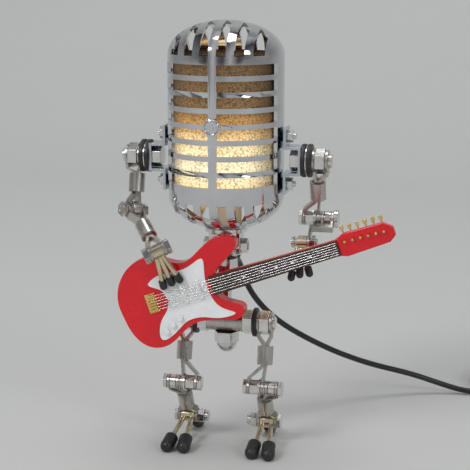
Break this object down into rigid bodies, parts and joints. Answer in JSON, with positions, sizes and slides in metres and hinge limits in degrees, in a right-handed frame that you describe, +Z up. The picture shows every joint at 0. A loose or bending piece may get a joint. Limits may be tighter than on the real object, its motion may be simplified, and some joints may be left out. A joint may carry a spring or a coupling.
{
  "type": "robot shaped desk lamp",
  "caption": "Desk lamp built as a small robot: domed microphone case as the lit head, jointed arms and legs of crimped straps and bolts, playing a toy guitar, USB cable behind.",
  "frame": {"origin": "on the desk under the middle of the hips", "axes": "+Z up, -Y the way the robot faces, +X to the side of its guitar's head"},
  "size_m": [0.2941, 0.2108, 0.2525],
  "materials": {
    "black_cable": "satin",
    "black_plastic": "satin",
    "black_rubber": "matt",
    "bright_hardware": "bright nickel",
    "brushed_links": "brushed nickel",
    "chrome_case": "polished",
    "dark_board": "satin",
    "gold_mesh": "speckled gold, lit from behind",
    "gold_plate": "bright",
    "gold_rods": "bright",
    "red_gloss": "gloss lacquer",
    "string_steel": "bright",
    "warm_bulb": "frosted, warm",
    "white_gloss": "gloss",
    "white_plastic": "satin",
    "zinc_brackets": "blue zinc"
  },
  "bodies": {
    "trunk": {"hip_tube": "bright_hardware", "hip_axle": "bright_hardware", "hip_nuts": "bright_hardware", "trunk_washers": "black_rubber", "acorn_nut": "bright_hardware", "neck_stud": "bright_hardware", "neck_collar": "bright_hardware", "swivel_block": "bright_hardware", "cable_gland": "black_rubber", "cable": "black_cable", "cable_coil": "black_cable", "usb_plug": "black_plastic"},
    "head": {"mic_front_grille": "chrome_case", "mic_rear_grille": "chrome_case", "mesh_liner": "gold_mesh", "led_bulb": "warm_bulb", "bulb_holder": "white_plastic", "touch_dimmer": "black_plastic", "mic_badge": "chrome_case", "base_plate": "bright_hardware", "tilt_bolt_set": "bright_hardware", "bracket_screws": "bright_hardware", "shoulder_bracket_left": "zinc_brackets", "shoulder_bracket_right": "zinc_brackets", "shoulder_bolts": "bright_hardware", "shoulder_washers": "black_rubber", "guitar_hanger": "bright_hardware", "guitar_body": "red_gloss", "guitar_pickguard": "white_gloss", "guitar_neck": "red_gloss", "guitar_fretboard": "dark_board", "guitar_bridge": "gold_plate", "guitar_controls": "white_gloss", "guitar_tuners": "gold_plate", "guitar_strings": "string_steel"},
    "upper_arm_left": {"upper_arm_left": "brushed_links", "elbow_bolt_left": "bright_hardware"},
    "forearm_left": {"forearm_left": "brushed_links", "wrist_bolt_left": "bright_hardware"},
    "hand_left": {"hand_left": "gold_rods", "finger_tips_left": "black_rubber"},
    "thigh_left": {"thigh_left": "brushed_links", "knee_bolt_left": "bright_hardware"},
    "shin_left": {"shin_left": "brushed_links", "ankle_bolt_left": "bright_hardware"},
    "foot_left": {"foot_left": "gold_rods", "toe_caps_left": "black_rubber"},
    "upper_arm_right": {"upper_arm_right": "brushed_links", "elbow_bolt_right": "bright_hardware"},
    "forearm_right": {"forearm_right": "brushed_links", "wrist_bolt_right": "bright_hardware"},
    "hand_right": {"hand_right": "gold_rods", "finger_tips_right": "black_rubber"},
    "thigh_right": {"thigh_right": "brushed_links", "knee_bolt_right": "bright_hardware"},
    "shin_right": {"shin_right": "brushed_links", "ankle_bolt_right": "bright_hardware"},
    "foot_right": {"foot_right": "gold_rods", "toe_caps_right": "black_rubber"}
  },
  "joints": [
    {"name": "head_tilt", "type": "hinge", "parent": "trunk", "child": "head", "pos_m": [0, 0, 0.122], "axis": [1, 0, 0], "range_deg": [-20, 3]},
    {"name": "shoulder_left", "type": "hinge", "parent": "head", "child": "upper_arm_left", "pos_m": [-0.053, 0, 0.1735], "axis": [1, 0, 0], "range_deg": [-60, 0]},
    {"name": "shoulder_right", "type": "hinge", "parent": "head", "child": "upper_arm_right", "pos_m": [0.053, 0, 0.1735], "axis": [1, 0, 0], "range_deg": [0, 45]},
    {"name": "elbow_left", "type": "hinge", "parent": "upper_arm_left", "child": "forearm_left", "pos_m": [-0.053, -0.008, 0.142], "axis": [-0.6493, -0.7372, 0.1872], "range_deg": [0, 30]},
    {"name": "elbow_right", "type": "hinge", "parent": "upper_arm_right", "child": "forearm_right", "pos_m": [0.053, 0.012, 0.138], "axis": [1, 0, 0], "range_deg": [0, 40]},
    {"name": "wrist_left", "type": "hinge", "parent": "forearm_left", "child": "hand_left", "pos_m": [-0.0335, -0.03, 0.123], "axis": [0.83, 0.3996, 0.3891], "range_deg": [-25, 0]},
    {"name": "wrist_right", "type": "hinge", "parent": "forearm_right", "child": "hand_right", "pos_m": [0.053, -0.0015, 0.126], "axis": [1, 0, 0], "range_deg": [0, 20]},
    {"name": "hip_left", "type": "hinge", "parent": "trunk", "child": "thigh_left", "pos_m": [-0.0246, 0, 0.076], "axis": [1, 0, 0], "range_deg": [-15, 20]},
    {"name": "knee_left", "type": "hinge", "parent": "thigh_left", "child": "shin_left", "pos_m": [-0.0246, -0.01, 0.039], "axis": [1, 0, 0], "range_deg": [-15, 25]},
    {"name": "ankle_left", "type": "hinge", "parent": "shin_left", "child": "foot_left", "pos_m": [-0.0246, 0.004, 0.0135], "axis": [1, 0, 0], "range_deg": [-15, 15]},
    {"name": "hip_right", "type": "hinge", "parent": "trunk", "child": "thigh_right", "pos_m": [0.0246, 0, 0.076], "axis": [1, 0, 0], "range_deg": [-15, 20]},
    {"name": "knee_right", "type": "hinge", "parent": "thigh_right", "child": "shin_right", "pos_m": [0.0246, -0.01, 0.039], "axis": [1, 0, 0], "range_deg": [-15, 25]},
    {"name": "ankle_right", "type": "hinge", "parent": "shin_right", "child": "foot_right", "pos_m": [0.0246, 0.004, 0.0135], "axis": [1, 0, 0], "range_deg": [-15, 15]}
  ]
}
